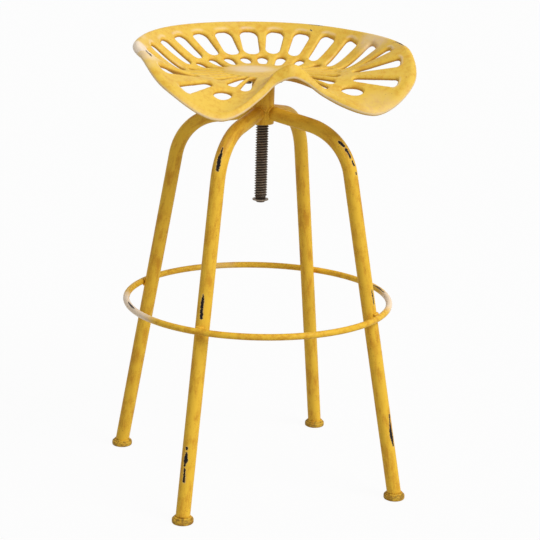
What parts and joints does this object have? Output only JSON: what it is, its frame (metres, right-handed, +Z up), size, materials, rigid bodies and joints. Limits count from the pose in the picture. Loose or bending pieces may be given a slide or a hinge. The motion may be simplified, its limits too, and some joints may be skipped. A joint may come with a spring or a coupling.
{
  "type": "tractor seat stool",
  "caption": "Tall stool: a slotted cast tractor seat on a central screw that turns to set its height, over bent tube legs with a round foot ring.",
  "frame": {"origin": "on the screw's axis at the floor", "axes": "+Z up along the screw, -Y the way the sitter faces, +X to the sitter's left. The mirror plane is X = 0. Names say left and right as seen from the front, so left is -X"},
  "size_m": [0.4296, 0.4242, 0.7066],
  "materials": {
    "mustard_paint": "distressed satin paint, rubbed through to dark metal",
    "mustard_seat_paint": "distressed satin paint with rubbed pale edges",
    "bare_steel": "oiled dark brown bare steel",
    "bolt_steel": "plain dull steel"
  },
  "bodies": {
    "frame": {"hub": "mustard_paint", "hub_welds": "mustard_paint", "leg_front_left": "mustard_paint", "leg_front_right": "mustard_paint", "leg_back_left": "mustard_paint", "leg_back_right": "mustard_paint", "foot_front_left": "mustard_paint", "foot_front_right": "mustard_paint", "foot_back_left": "mustard_paint", "foot_back_right": "mustard_paint", "foot_welds": "mustard_paint", "foot_ring": "mustard_paint", "ring_welds": "mustard_paint"},
    "stop": {"stop_washer": "bare_steel"},
    "seat": {"seat_casting": "mustard_seat_paint", "spindle_flange": "mustard_paint", "flange_weld": "bare_steel", "flange_bolts": "bolt_steel", "spring_washers": "bolt_steel", "spindle_screw": "bare_steel", "stop_bolt": "bare_steel"}
  },
  "joints": [
    {"name": "seat_lift", "type": "slide", "parent": "frame", "child": "stop", "axis": [0, 0, 1], "range_m": [0, 0.1165]},
    {"name": "seat_turn", "type": "hinge", "parent": "stop", "child": "seat", "pos_m": [0, 0, 0.45], "axis": [0, 0, 1], "range_deg": [0, 10440]}
  ],
  "couplings": [
    {"joint": "seat_lift", "follows": "seat_turn", "m_per_rad": 0.00063662}
  ]
}
